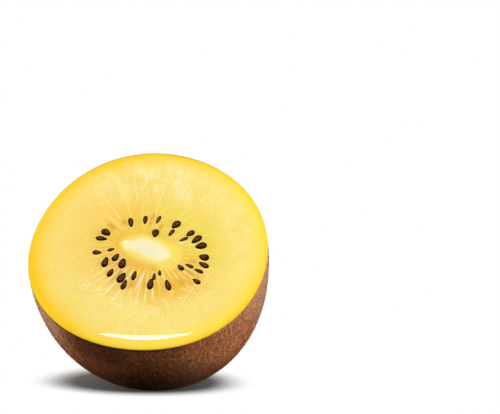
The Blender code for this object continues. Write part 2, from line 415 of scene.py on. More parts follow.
class Solid:
    # Rings of points stitched into faces. Faces wind so that they look outward when the
    # rings run anticlockwise and go down.
    def __init__(self):
        self.points = []
        self.faces = []

    def ring(self, points):
        first = len(self.points)
        self.points.extend(points)
        return list(range(first, len(self.points)))

    def stitch(self, upper, lower):
        if len(upper) == len(lower):
            count = len(upper)
            for i in range(count):
                j = (i + 1) % count
                self.faces.append((upper[i], lower[i], lower[j], upper[j]))
            return
        # the upper ring has a whole number of points for each of the lower ring's
        count = len(lower)
        share = len(upper) // count
        for i in range(count):
            near, far = lower[i], lower[(i + 1) % count]
            for j in range(share):
                first = upper[share * i + j]
                second = upper[(share * i + j + 1) % len(upper)]
                self.faces.append((first, near if 2 * j < share else far, second))
            middle = upper[(share * i + (share + 1) // 2) % len(upper)]
            self.faces.append((near, far, middle))

    def stack(self, rings):
        for upper, lower in zip(rings, rings[1:]):
            self.stitch(upper, lower)

    def close(self, ring, point, below=True):
        self.points.append(point)
        tip = len(self.points) - 1
        for i, first in enumerate(ring):
            second = ring[(i + 1) % len(ring)]
            self.faces.append((first, tip, second) if below else (first, second, tip))


# Flesh

flesh = {
    "inset": 0.16 * mm,
    "segments": 600,
    "rings": 88,
    "innerShare": 0.5,       # the face's rings start at this share of the core
    "sideSegments": 120,
    "sideRings": 16,
    "overhang": 0.02 * mm,   # the flesh swells over the thin edge of the skin
    "lip": 0.06 * mm,
    "lipPower": 60,
    "tuck": 0.004,           # how far below the face's edge the side begins, in rings
    "collar": 0.05 * mm,     # the gel that swells up round each seed
    "collarWidth": 0.22 * mm,
    "haloWidth": 0.28 * mm,
    "pale": linear(248, 222, 114),
    "warm": linear(247, 208, 96),
    "gelTop": linear(240, 198, 54),
    "gelLow": linear(238, 182, 34),
    "lemon": linear(241, 213, 82),
    "peach": linear(236, 184, 96),
    "ray": linear(254, 238, 150),
    "rayLow": linear(255, 243, 180),
    # pale flesh, also used for the painted sheen at the top
    "milky": linear(251, 236, 166),
    # white of the squiggles, partly painted glints
    "fleck": linear(255, 248, 204),
    "rimDeep": linear(255, 205, 8),
    "rimLight": linear(255, 219, 28),
    "edge": linear(255, 200, 8),
    "cream": linear(252, 238, 190),
    "lime": linear(240, 226, 84),
    "halo": linear(250, 226, 108),
    "sunkenSeed": linear(218, 148, 44),
    "streak": linear(252, 226, 170),
    "roughness": 0.32,
}

rimRadius = insetOutline(outlineAtTurn(0.0), flesh["inset"])[0]


def fleshHeights(x, y):
    height = domeHeight(x, y)
    reach, turn = rayTurn(x, y)
    window = np.clip((reach - rays["start"]) / rays["fadeIn"], 0, 1)
    window = window * np.clip((rays["end"] - reach) / rays["fadeOut"], 0, 1)
    height = height + rays["relief"] * window * rayWave(turn)
    halo = np.zeros_like(x)
    for seed in seedList:
        away = seedDistance(x, y, seed)
        bump = np.exp(-((away - flesh["collarWidth"]) / flesh["collarWidth"]) ** 2)
        height = height + flesh["collar"] * bump
        halo = np.maximum(halo, np.exp(-(np.maximum(away, 0) / flesh["haloWidth"]) ** 2))
    sunken = np.zeros_like(x)
    for turnAt, share, size in seeds["sunken"]:
        spot, heading = seedPlace(turnAt, share)
        length, width = seeds["sunkenSize"]
        away = seedDistance(x, y, (spot, heading, length * size, width * size))
        sunken = np.maximum(sunken, softInside(away, seeds["sunkenBlur"]))
    streak = np.zeros_like(x)
    for turnAt, share, length, width in seeds["streaks"]:
        spot, heading = seedPlace(turnAt, share)
        away = seedDistance(x, y, (spot, heading, length * mm, width * mm))
        streak = np.maximum(streak, softInside(away, seeds["streakBlur"]))
    return height, halo, sunken, streak


def faceCentred(shareOfCore, count):
    turn = np.array(bearings(count)) - math.radians(core["bearing"])
    return pointOnEllipse(core["centre"], core["halfLength"] * shareOfCore,
                          core["halfWidth"] * shareOfCore, core["bearing"], turn)


def buildFlesh(material):
    count = flesh["segments"]
    innerX, innerY = faceCentred(flesh["innerShare"], count)
    rim = [placeOnBody(insetOutline(outlineAtTurn(0.0), -flesh["overhang"]), b)
           for b in bearings(count)]
    rimX = np.array([point.x for point in rim])
    rimY = np.array([point.y for point in rim])
    share = np.linspace(0, 1, flesh["rings"])[:, None]
    x = innerX + (rimX - innerX) * share
    y = innerY + (rimY - innerY) * share
    z, halo, sunken, streak = fleshHeights(x, y)
    z = z + flesh["lip"] * (1 - share ** flesh["lipPower"])
    solid = Solid()
    rings = []
    for row in range(flesh["rings"]):
        rings.append(solid.ring([Vector(point) for point in zip(x[row], y[row], z[row])]))
    solid.stack(rings)
    solid.close(rings[0], Vector((*core["centre"], body["domeHeight"])), below=False)
    sides = []
    for i in [flesh["tuck"], *range(1, flesh["sideRings"])]:
        line = insetOutline(outlineAtTurn(math.radians(90) * i / flesh["sideRings"]),
                            flesh["inset"])
        sides.append(solid.ring([placeOnBody(line, b) for b in bearings(flesh["sideSegments"])]))
    solid.stack([rings[-1]] + sides)
    solid.close(sides[-1], placeOnBody((0.0, body["halfDepth"] - flesh["inset"]), 0.0))
    pressFlat(solid.points, flesh["inset"])
    piece = makePiece("flesh_golden", solid.points, solid.faces, material, "flesh")
    for name, values in (("seedHalo", halo), ("sunkenSeed", sunken), ("paleStreak", streak)):
        layer = piece.data.attributes.new(name, "FLOAT", "POINT")
        full = np.zeros(len(solid.points), dtype=np.float32)
        full[:values.size] = values.ravel()
        layer.data.foreach_set("value", full)


def pressFlat(points, lift):
    # Where the fruit rests, its skin and flesh are pressed flat.
    for i, point in enumerate(points):
        world = faceFrame @ point
        if world.z < lift:
            world.z = lift
            points[i] = toFace @ world


# Where the colours of the cut face begin and end: in millimetres out from the core or from
# the middle, or along x and y, and as shares of a noise.
faceMarks = {
    "warmIn": (24.0, 13.0),
    "warmSide": (6.0, -14.0),
    "warmCloud": (0.38, 0.66),
    "milkySide": (0.0, 16.0),
    "milkyRight": (2.0, 16.0),
    "milkyNoise": (0.39, 0.60),
    "milkyOut": (11.0, 17.0),
    "paleCell": (0.52, 0.68),
    "warmCell": (0.47, 0.34),
    "gelOut": (17.5, 10.5),
    "gelIn": (5.4, 6.8),
    "gelUp": (-3.0, 6.0),
    "lemonSide": (1.0, 9.0),
    "peachSide": (1.0, -6.0),
    "peachDown": (0.0, -5.0),
    "peachMottle": (0.40, 0.62),
    "rayIn": (7.0, 9.0),
    "rayOut": 15.5,
    "rayOutSwing": (1.6, 0.6),     # the rays end nearer along the core than across it
    "rayOwn": (0.34, 0.62),
    "rayFine": (0.36, 0.60),
    "rayWide": (0.50, 0.66),
    "rayLeft": (-13.5, -8.5),
    "below": (-1.0, 5.0),
    "fibre": (0.54, 0.70),
    "fibreOut": (16.0, 9.0),
    "squiggle": (0.050, 0.012),
    "squigglePatch": (0.43, 0.57),
    "squiggleIn": (12.0, 14.5),
    "squiggleOut": (21.0, 16.5),
    "rim": (21.8, 26.6),
    "rimSide": (-14.0, 12.0),
    "edge": (25.7, 27.2),
    "smoothRim": (22.0, 19.0),     # the grain of the surface ends before the rim
    # the core's uneven edge, in millimetres along the core and across it
    "leanAlong": (4.0, -4.0),
    "leanAcross": (0.8, -2.4),
    "rightEnd": (1.0, 5.0),
    "leftEnd": (-2.0, -5.5),
    "leftEndAcross": (-0.6, 1.6),
    "glowRight": (2.5, 8.0),
    "glow": (6.7, 5.6),
    "lime": (7.2, 6.2),
    "limeRight": (3.0, 6.0),
    "cream": (6.0, 5.3),
}


def rayAxes(x, y):
    # The same elliptic coordinates as in rayTurn, in millimetres.
    bearing = math.radians(core["bearing"])
    offX = x - core["centre"][0] / mm
    offY = y - core["centre"][1] / mm
    along = offX * math.cos(bearing) + offY * math.sin(bearing)
    across = offY * math.cos(bearing) - offX * math.sin(bearing)
    focus = rays["focus"] / mm
    near = ((along - focus) ** 2 + across ** 2).sum("SQRT")
    far = ((along + focus) ** 2 + across ** 2).sum("SQRT")
    cosine = ((far - near) / (2 * focus)).sum("MAXIMUM", -1.0).sum("MINIMUM", 1.0)
    sine = (1 - cosine ** 2).sum("MAXIMUM", 0.0).sum("SQRT") * across.sum("SIGN")
    return along, across, (near + far) * 0.5, cosine, sine


def spokeNoise(cosine, sine, reach, spread, stretch, *settings):
    # Noise that is drawn out from the core: finer round it with spread, longer with less stretch.
    spoke = reach.node("ShaderNodeCombineXYZ", None, {
        "X": cosine * spread, "Y": sine * spread, "Z": reach * stretch})
    return spoke.noise(*settings)


def coreFringe(along, across):
    # How much nearer or farther than an ellipse the core's uneven edge lies.
    marks = faceMarks
    lean = across.ramp(*marks["leanAcross"]) * along.ramp(*marks["leanAlong"]) * 0.55
    lean = lean + along.ramp(*marks["rightEnd"]) * (across * 0.06)
    leftEnd = across.ramp(*marks["leftEndAcross"]) * 1.5 - 0.55
    return lean + along.ramp(*marks["leftEnd"]) * leftEnd


def faceColours(start, place, withSeeds):
    # The colours of the cut face, from the core out to the rim.
    marks = faceMarks
    x, y = splitAxes(place)[:2]
    along, across, reach, cosine, sine = rayAxes(x, y)
    streaks = spokeNoise(cosine, sine, reach, 9.0, 0.10, 2.2, 3.0, 0.6)
    fine = spokeNoise(cosine, sine, reach, 9.0, 0.10, 5.0, 2.0, 0.5)
    broad = spokeNoise(cosine, sine, reach, 9.0, 0.10, 0.8, 3.0, 0.6)
    fibres = spokeNoise(cosine, sine, reach, 9.0, 0.06, 9.0, 1.0, 0.5)
    cells = spokeNoise(cosine, sine, reach, 22.0, 0.9, 1.5, 3.0, 0.65)
    own = spokeNoise(cosine, sine, reach, 9.0, 0.0, 1.1, 2.0, 0.6)
    cloud = place.noise(0.16, 3.0, 0.55)
    mottle = place.noise(0.75, 4.0, 0.6)

    # warmer at the left, and milky at the top: partly pale flesh, partly a painted sheen
    warmer = reach.ramp(*marks["warmIn"]) * (x - y * 0.5).ramp(*marks["warmSide"]) * 0.95
    warmer = warmer + cloud.ramp(*marks["warmCloud"]) * 0.3
    colour = warmer.over(flesh["pale"], flesh["warm"])
    milkySide = (x * 0.5 + y * 0.8).ramp(*marks["milkySide"])
    milkySide = milkySide * (1 - x.ramp(*marks["milkyRight"]) * 0.65)
    milky = place.noise(0.24, 3.0, 0.55) * 0.4 + broad * 0.25 + streaks * 0.35
    milky = milky.ramp(*marks["milkyNoise"]) * reach.ramp(*marks["milkyOut"])
    colour = (milky * (milkySide * 0.8 + 0.1)).over(colour, flesh["milky"])
    # a fine grain of cells, drawn out a little from the core
    colour = cells.ramp(*marks["paleCell"]).over(colour, flesh["milky"], 0.45)
    colour = cells.ramp(*marks["warmCell"]).over(colour, flesh["warm"], 0.30)

    # the gel between the rays
    gel = (reach + (streaks - 0.5) * 4.0 - x * 0.17).ramp(*marks["gelOut"])
    gel = gel * reach.ramp(*marks["gelIn"]) * (0.5 + broad * 0.8 + x * 0.012)
    gelColour = (y + x * 0.4).ramp(*marks["gelUp"]).over(flesh["gelLow"], flesh["gelTop"])
    lemon = (y * 0.5 + x * 0.6).ramp(*marks["lemonSide"])
    gelColour = lemon.over(gelColour, flesh["lemon"])
    peach = x.ramp(*marks["peachSide"]) * y.ramp(*marks["peachDown"])
    peach = peach * mottle.ramp(*marks["peachMottle"])
    colour = gel.over(colour, peach.over(gelColour, flesh["peach"]))

    # the rays, each with its own strength, width and end
    turn = sine.sum("ARCTAN2", cosine)
    phase = turn * rays["count"]
    for count, size, first in rays["sway"]:
        phase = phase + (turn * count + first).sum("SINE") * size
    swing, swingFrom = marks["rayOutSwing"]
    end = (turn * 2 + swingFrom).sum("COSINE") * -swing + marks["rayOut"] + (own - 0.5) * 18.0
    length = ((end - reach) * 0.25).ramp(0.0, 1.0) * reach.ramp(*marks["rayIn"])
    below = (y * -1.0 - x.sum("ABSOLUTE") * 0.25).ramp(*marks["below"])
    wide = below.sum("MAXIMUM", own.ramp(*marks["rayWide"]) * 0.5)
    lines = phase.sum("COSINE").sum("MAXIMUM", 0.0) ** (reach * (1.1 - wide * 0.6))
    shown = own.ramp(*marks["rayOwn"]) * 0.6 + fine.ramp(*marks["rayFine"]) * 0.4 + below * 0.25
    shown = shown * (x.ramp(*marks["rayLeft"]) * 0.6 + 0.4)
    rayColour = below.over(flesh["ray"], flesh["rayLow"])
    colour = (lines * length * shown).over(colour, rayColour, 0.95)
    # and fine fibres between them, right up to the core
    fibre = fibres.ramp(*marks["fibre"]) * reach.ramp(*marks["fibreOut"])
    colour = fibre.over(colour, flesh["ray"], 0.4)

    # short white squiggles where the rays end, thickest below the core: partly pale cells, partly
    # painted glints
    squiggle = (place.noise(1.25, 1.0, 0.45) - 0.5).sum("ABSOLUTE").ramp(*marks["squiggle"])
    squiggle = squiggle * place.noise(0.6, 2.0, 0.5).ramp(*marks["squigglePatch"])
    band = (reach + (cloud - 0.5) * 4.0).ramp(*marks["squiggleOut"])
    band = band * reach.ramp(*marks["squiggleIn"])
    colour = (squiggle * band * below).over(colour, flesh["fleck"], 0.62)

    # the deeper gold band along the rim
    out = (x ** 2 + (y / body["heightRatio"]) ** 2).sum("SQRT")
    rim = (out + (cloud - 0.5) * 1.6 - x * 0.02).ramp(*marks["rim"], False) ** 1.2
    rimSide = (x * 0.6 - y * 0.25).ramp(*marks["rimSide"])
    colour = rim.over(colour, rimSide.over(flesh["rimDeep"], flesh["rimLight"]))
    colour = out.ramp(*marks["edge"]).over(colour, flesh["edge"], 0.7)

    if withSeeds:
        halo, sunken, streak = (
            start.node("ShaderNodeAttribute", {"attribute_name": name}, None, "Fac")
            for name in ("seedHalo", "sunkenSeed", "paleStreak"))
        colour = halo.over(colour, flesh["halo"], 0.55)
        colour = (sunken * (mottle * 0.8 + 0.5)).over(colour, flesh["sunkenSeed"], 0.7)
        colour = (streak * (fine * 0.8 + 0.5)).over(colour, flesh["streak"])

    # the core and its feathered edge
    fringe = reach + coreFringe(along, across) + (streaks - 0.5) * 0.6 + (fibres - 0.5) * 1.1
    glow = (fringe - along.ramp(*marks["glowRight"]) * 2.2).ramp(*marks["glow"])
    colour = glow.over(colour, flesh["halo"], 0.7)
    lime = along.ramp(*marks["limeRight"]) * fringe.ramp(*marks["lime"])
    colour = lime.over(colour, flesh["lime"], 0.5)
    colour = fringe.ramp(*marks["cream"]).over(colour, flesh["cream"])
    return colour, out, mottle


def fleshMaterial():
    made, start, place = startMaterial("flesh_golden")
    colour, out, mottle = faceColours(start, place, True)
    grain = place.noise(2.6, 3.0, 0.6) * 0.6 + mottle * 0.4
    grain = grain * out.ramp(*faceMarks["smoothRim"])
    bump = start.node("ShaderNodeBump", None, {"Strength": 0.12, "Distance": 0.0004,
                                               "Height": grain})
    shader = start.node("ShaderNodeBsdfPrincipled", None, {
        "Base Color": colour, "Roughness": flesh["roughness"], "Normal": bump,
        "IOR": 1.38, "Subsurface Weight": 0.25, "Subsurface Radius": (1.0, 0.8, 0.35),
        "Subsurface Scale": 0.0009, "Coat Weight": 0.9, "Coat Roughness": 0.02,
        "Coat IOR": 1.36})
    return finishMaterial(made, shader)


# Core


def coreMaterial():
    made, start, place = startMaterial("core_cream")
    colour = faceColours(start, place, False)[0]
    fibres = place.noise(3.2, 3.0, 0.65)
    colour = fibres.ramp(0.35, 0.7).over(colour, flesh["cream"], 0.35)
    bump = start.node("ShaderNodeBump", None, {"Strength": 0.2, "Distance": 0.0003,
                                               "Height": fibres})
    shader = start.node("ShaderNodeBsdfPrincipled", None, {
        "Base Color": colour, "Roughness": 0.45, "Normal": bump, "IOR": 1.38,
        "Subsurface Weight": 0.35, "Subsurface Radius": (1.0, 0.7, 0.35),
        "Subsurface Scale": 0.0018, "Coat Weight": 0.5, "Coat Roughness": 0.2})
    return finishMaterial(made, shader)


def buildCore(material):
    # A spindle whose top is a low lens that rises out of the flesh round it.
    solid = Solid()
    turns = bearings(core["segments"])
    swing, middle = core["lens"]
    wobbleSize, wobbleScale = core["wobble"]
    unevenSize, unevenScale = core["unevenness"]
    rings = []
    for step in range(1, core["rings"] + 1):
        share = step / core["rings"]
        points = []
        for turn in turns:
            around = Vector((math.cos(turn), math.sin(turn), 0))
            size = share * (1 + wobbleSize * noise.noise(around * wobbleScale))
            x, y = pointOnEllipse(core["centre"], core["halfLength"] * size,
                                  core["halfWidth"] * size, core["bearing"], turn)
            lens = core["rise"] * (swing * math.cos(math.pi * share) + middle)
            uneven = unevenSize * noise.noise(Vector((x, y, 0)) * unevenScale)
            height = float(domeHeight(x, y)) + lens + uneven * (1 - share)
            points.append(Vector((x, y, height)))
        rings.append(solid.ring(points))
    top = Vector((*core["centre"], body["domeHeight"] + core["rise"]))
    solid.close(rings[0], top, below=False)
    for step in range(1, core["rings"]):
        descent = math.radians(90) * step / core["rings"]
        narrow = math.cos(descent)
        z = body["domeHeight"] - core["depth"] * math.sin(descent)
        points = []
        for turn in turns:
            x, y = pointOnEllipse(core["centre"], core["halfLength"] * narrow,
                                  core["halfWidth"] * narrow, core["bearing"], turn)
            points.append(Vector((x, y, z)))
        rings.append(solid.ring(points))
    solid.stack(rings)
    solid.close(rings[-1], Vector((*core["centre"], body["domeHeight"] - core["depth"])))
    makePiece("core_spindle", solid.points, solid.faces, material, "core")


# Seeds


def seedMaterial():
    made, start, place = startMaterial("seed_dark")
    patch = place.noise(0.9, 2.0, 0.5)
    grain = place.noise(4.5, 2.0, 0.6)
    crown = start.node("ShaderNodeAttribute", {"attribute_name": "crown"}, None, "Fac")
    colour = patch.ramp(0.40, 0.62).over(seeds["dark"], seeds["brown"])
    # painted highlight and painted glints on the tops of the seeds
    lit = crown.ramp(0.60, 0.92) * grain.ramp(0.38, 0.56)
    colour = lit.over(colour, seeds["lit"], 0.75)
    fleck = crown.ramp(0.70, 1.0) * grain.ramp(0.56, 0.66)
    colour = fleck.over(colour, seeds["fleck"], 0.45)
    bump = start.node("ShaderNodeBump", None, {"Strength": 0.25, "Distance": 0.0001,
                                               "Height": grain})
    shader = start.node("ShaderNodeBsdfPrincipled", None, {
        "Base Color": colour, "Roughness": 0.35, "Normal": bump,
        "Specular IOR Level": 0.05, "Coat Weight": 0.08, "Coat Roughness": 0.06})
    return finishMaterial(made, shader)


def buildSeeds(material):
    solid = Solid()
    crown = []
    for spot, heading, length, width in seedList:
        length += seeds["coat"][0]
        width += seeds["coat"][1]
        turned = Matrix.Rotation(heading, 3, "Z")
        base = Vector((spot.x, spot.y, float(domeHeight(spot.x, spot.y))))
        rings = []
        for i in range(seeds["rings"], 0, -1):
            turn = math.pi * i / (seeds["rings"] + 1)
            share = -math.cos(turn)
            thick = math.sin(turn) ** seeds["sharpness"]
            thick *= 1 + seeds["taper"] * math.sin(turn) * share
            points = []
            for bearing in bearings(seeds["sides"]):
                across = math.cos(bearing) * thick * width / 2
                height = seeds["proud"] if math.sin(bearing) > 0 else seeds["sunk"]
                up = math.sin(bearing) * thick * height * width
                points.append(base + turned @ Vector((share * length / 2, across, up)))
                # how near a seed's top a point lies, for its painted highlight
                crown.append(max(math.sin(bearing), 0.0) * math.sin(turn))
            rings.append(solid.ring(points))
        solid.stack(rings)
        solid.close(rings[0], base + turned @ Vector((length / 2, 0, 0)), below=False)
        solid.close(rings[-1], base + turned @ Vector((-length / 2, 0, 0)))
        crown.extend((0.0, 0.0))
    piece = makePiece("seeds_dark", solid.points, solid.faces, material)
    layer = piece.data.attributes.new("crown", "FLOAT", "POINT")
    layer.data.foreach_set("value", crown)


# Skin

skin = {
    "thickness": 0.13 * mm,
    "segments": 300,
    "rings": 150,
    "innerRings": 30,
    "scarHeight": 0.9 * mm,
    "scarRadius": 4.0 * mm,
    "dimpleDepth": 0.6 * mm,
    "dimpleRadius": 1.6 * mm,
    "unevenness": 0.05 * mm,
    "unevenScale": 260,
    "evenRim": 4.0 * mm,     # the unevenness fades out over this much towards the cut
    "dark": linear(80, 38, 16),
    "brown": linear(178, 100, 55),
    "tan": linear(230, 170, 116),
    "red": linear(176, 78, 38),
    # pale tan of the down, also used for painted light
    "litDown": linear(206, 164, 132),
    # low and dim are the colours of the painted shade on the underside
    "low": linear(62, 28, 12),
    "dim": linear(126, 74, 48),
    # colour of the painted shadow along the cut edge
    "edge": linear(52, 20, 6),
    "scar": linear(92, 60, 38),
    # where its tones begin and end, in millimetres along x, y and z, or as shares of a noise
    "redCloud": (0.38, 0.64),
    # the paler upper side is painted light
    "upper": (-16.0, -5.0),
    # paler and greyer at the left and right: the down's own tone, with painted light where the
    # side lamps catch it; along x, along z, how strongly
    "litDownSides": (((-15.0, -23.0), (-20.0, -4.0), 0.85), ((17.0, 26.0), (-18.0, -4.0), 0.35)),
    # where the painted light on the lower right lies
    "lowerRight": (4.0, 14.0),
    "lowerUnder": (-14.0, -18.0),
    "lowerSpeck": (0.40, 0.60),
    "dimSpeck": (0.50, 0.66),
    # where the painted shadow along the cut edge lies: its band and its side
    "edgeShadowBand": (-1.1, -0.3),
    "edgeShadowSide": (16.0, -10.0),
    "scarIn": (5.5, 3.0),
    "scarDown": (-30.0, -36.0),
}

# Painted shade: darker down to where the fruit rests, and under the cut face at its left and front
paintedShade = {
    "height": (12.5, 3.0),   # millimetres above the ground
    "resting": 0.82,
    "leftMiddle": -9.5,
    "leftWidth": (9.5, 3.0),
    "leftDepth": (-16.0, -4.0),
    "left": 0.72,
    "frontMiddle": 1.0,
    "frontWidth": (12.0, 2.0),
    "frontDepth": (-9.0, -15.0),
    "frontEnd": (-27.0, -21.0),
    "front": 0.5,
    "under": (-6.0, -13.0),
}


def scarHeight(radius):
    rim = skin["scarHeight"] * math.exp(-(radius / skin["scarRadius"]) ** 4)
    return rim - skin["dimpleDepth"] * math.exp(-(radius / skin["dimpleRadius"]) ** 2)


def lowShade(x, y, z):
    tilt = math.radians(body["faceTilt"])
    height = y * math.sin(tilt) + z * math.cos(tilt) + faceFrame.translation.z / mm
    resting = height.ramp(*paintedShade["height"]) * paintedShade["resting"]
    left = (x - paintedShade["leftMiddle"]).sum("ABSOLUTE").ramp(*paintedShade["leftWidth"])
    left = left * z.ramp(*paintedShade["leftDepth"]) * paintedShade["left"]
    front = (x - paintedShade["frontMiddle"]).sum("ABSOLUTE").ramp(*paintedShade["frontWidth"])
    front = front * z.ramp(*paintedShade["frontDepth"]) * paintedShade["front"] * z.ramp(*paintedShade["frontEnd"])
    under = left.sum("MAXIMUM", front) * y.ramp(*paintedShade["under"])
    return resting.sum("MAXIMUM", under)


def skinMaterial():
    made, start, place = startMaterial("skin_brown")
    x, y, z = splitAxes(place)
    away = (x ** 2 + y ** 2).sum("SQRT")
    # noise that is drawn out along the fruit, as its hairs are
    flow = start.node("ShaderNodeCombineXYZ", None, {
        "X": x / away * 58.0, "Y": y / away * 58.0, "Z": z * 0.75})
    stroke = flow.noise(1.0, 2.0, 0.6)
    coarse = flow.noise(0.35, 2.0, 0.6)
    cloud = place.noise(0.11, 3.0, 0.55)
    patch = place.noise(0.7, 4.0, 0.65)
    speck = place.noise(2.4, 3.0, 0.7)
    pores = place.noise(6.0, 2.0, 0.6)
    # painted light: the upper side is paler and less red, where the light falls on it
    upper = y.ramp(*skin["upper"])
    red = cloud.ramp(*skin["redCloud"]) * (1 - upper * 0.6)
    colour = red.over(skin["brown"], skin["red"], 0.7)
    colour = upper.over(colour, skin["litDown"], 0.3)
    # each grain, from and to which of its values it shows, its tone, and how strongly
    for grain, low, high, tone, strength in (
            (patch, 0.50, 0.70, "dark", 0.50), (coarse, 0.50, 0.36, "dark", 0.45),
            (stroke, 0.52, 0.68, "tan", 0.60), (stroke, 0.46, 0.32, "dark", 0.50),
            (speck, 0.56, 0.72, "tan", 0.35), (pores, 0.60, 0.74, "dark", 0.45)):
        colour = grain.ramp(low, high).over(colour, skin[tone], strength)
    # painted light on the down of the lit left and right flanks, over its own paler tone
    for side, depth, strength in skin["litDownSides"]:
        colour = (x.ramp(*side) * z.ramp(*depth)).over(colour, skin["litDown"], strength)
    # painted light: the lower right is paler, speckled with tan
    lower = x.ramp(*skin["lowerRight"]) * y.ramp(*skin["lowerUnder"])
    colour = (lower * speck.ramp(*skin["lowerSpeck"])).over(colour, skin["tan"], 0.3)
    # painted shade on the underside and under the cut face, speckled
    dim = speck.ramp(*skin["dimSpeck"]).over(skin["low"], skin["dim"])
    colour = lowShade(x, y, z).over(colour, dim)
    # painted shadow along the cut edge, under the overhanging face, most of all at the lower left
    edgeShadow = (z + (speck - 0.5) * 0.8).ramp(*skin["edgeShadowBand"])
    edgeShadow = edgeShadow * (x + y * 0.3).ramp(*skin["edgeShadowSide"])
    colour = edgeShadow.over(colour, skin["edge"], 0.85)
    scarred = away.ramp(*skin["scarIn"]) * z.ramp(*skin["scarDown"])
    colour = scarred.over(colour, skin["scar"], 0.8)
    relief = patch * 0.3 + speck * 0.3 + stroke * 0.4
    bump = start.node("ShaderNodeBump", None, {"Strength": 0.7, "Distance": 0.0004,
                                               "Height": relief})
    shader = start.node("ShaderNodeBsdfPrincipled", None, {
        "Base Color": colour, "Roughness": 0.72 - speck * 0.15, "Normal": bump,
        "Specular IOR Level": 0.2})
    return finishMaterial(made, shader)


def skinPoint(turn, bearing):
    line = outlineAtTurn(turn)
    fade = min(line[1] / skin["evenRim"], 1.0)
    point = placeOnBody(line, bearing, scarHeight(line[0]))
    uneven = skin["unevenness"] * fade * noise.noise(point * skin["unevenScale"])
    return placeOnBody(insetOutline(line, -uneven), bearing, scarHeight(line[0]))


def buildSkin(material):
    solid = Solid()
    quarter = math.radians(90)
    outer = []
    for i in range(skin["rings"]):
        turn = quarter * i / skin["rings"]
        outer.append(solid.ring([skinPoint(turn, b) for b in bearings(skin["segments"])]))
    solid.close(outer[-1], placeOnBody((0.0, body["halfDepth"]), 0.0, scarHeight(0.0)))
    pressFlat(solid.points, 0.0)
    inner = []
    for i in range(skin["innerRings"] - 1, -1, -1):
        line = insetOutline(outlineAtTurn(quarter * i / skin["innerRings"]), skin["thickness"])
        inner.append(solid.ring([placeOnBody(line, b) for b in bearings(skin["segments"])]))
    solid.close(inner[0], placeOnBody((0.0, body["halfDepth"] - skin["thickness"]), 0.0),
                below=False)
    pressFlat(solid.points, 0.0)
    solid.stack(inner + [outer[0]])
    solid.stack(outer)
    makePiece("skin_brown", solid.points, solid.faces, material, "skin")


# Down on the skin

down = {
    "count": 42000,
    "length": (0.35 * mm, 0.8 * mm),
    "width": 0.085 * mm,
    "lean": (5.0, 20.0),     # degrees off the skin
    "stray": 26.0,           # degrees off the way to the stem end
    "draw": 5,
    "lastTurn": 89,          # degrees of the outline, where 90 is the stem end
    "bareRim": 0.6 * mm,
    "clearance": 0.25 * mm,  # off the ground
    "rootDepth": 0.02 * mm,
    "thickness": 0.4,        # for each unit of width
    "step": 0.01,            # a short way along the skin, to find how it lies
    "deep": linear(126, 76, 46),
    "pale": linear(206, 154, 110),
    # colour of the painted shade on the down of the underside
    "low": linear(86, 50, 28),
}


def downMaterial():
    made, start, place = startMaterial("down_tan")
    patch = place.noise(0.9, 3.0, 0.6)
    colour = patch.ramp(0.36, 0.66).over(down["deep"], down["pale"])
    # painted shade on the down, as on the skin
    colour = lowShade(*splitAxes(place)).over(colour, down["low"], 0.8)
    shader = start.node("ShaderNodeBsdfPrincipled", None, {
        "Base Color": colour, "Roughness": 0.6, "Specular IOR Level": 0.3})
    return finishMaterial(made, shader)


def buildDown(material):
    draw = random.Random(down["draw"])
    solid = Solid()
    while len(solid.faces) < 4 * down["count"]:
        # Even over the skin: a turn is kept as often as its ring is long.
        turn = math.radians(down["lastTurn"]) * draw.random()
        bearing = math.tau * draw.random()
        radius, depth = outlineAtTurn(turn)
        if draw.random() * body["halfWidth"] > radius or depth < down["bareRim"]:
            continue
        root = skinPoint(turn, bearing)
        toTip = (skinPoint(turn + down["step"], bearing) - root).normalized()
        toSide = (skinPoint(turn, bearing + down["step"]) - root).normalized()
        outward = toTip.cross(toSide).normalized()
        if outward.dot(Vector((root.x, root.y, root.z / 2))) < 0:
            outward.negate()
        stray = math.radians(draw.gauss(0, down["stray"]))
        lean = math.radians(draw.uniform(*down["lean"]))
        flow = toTip * math.cos(stray) + toSide * math.sin(stray)
        along = flow * math.cos(lean) + outward * math.sin(lean)
        length = draw.uniform(*down["length"])
        tip = root + along * length
        if min((faceFrame @ root).z, (faceFrame @ tip).z) < down["clearance"]:
            continue
        side = along.cross(outward).normalized() * down["width"] / 2
        top = outward * down["width"] * down["thickness"]
        foot = root - outward * down["rootDepth"]
        ring = solid.ring([foot + side, foot - side, foot + top])
        solid.points.append(tip)
        last = len(solid.points) - 1
        solid.faces.append(tuple(ring))
        for i in range(3):
            solid.faces.append((ring[(i + 1) % 3], ring[i], last))
    makePiece("skin_down", solid.points, solid.faces, material)


# Floor, world and lights

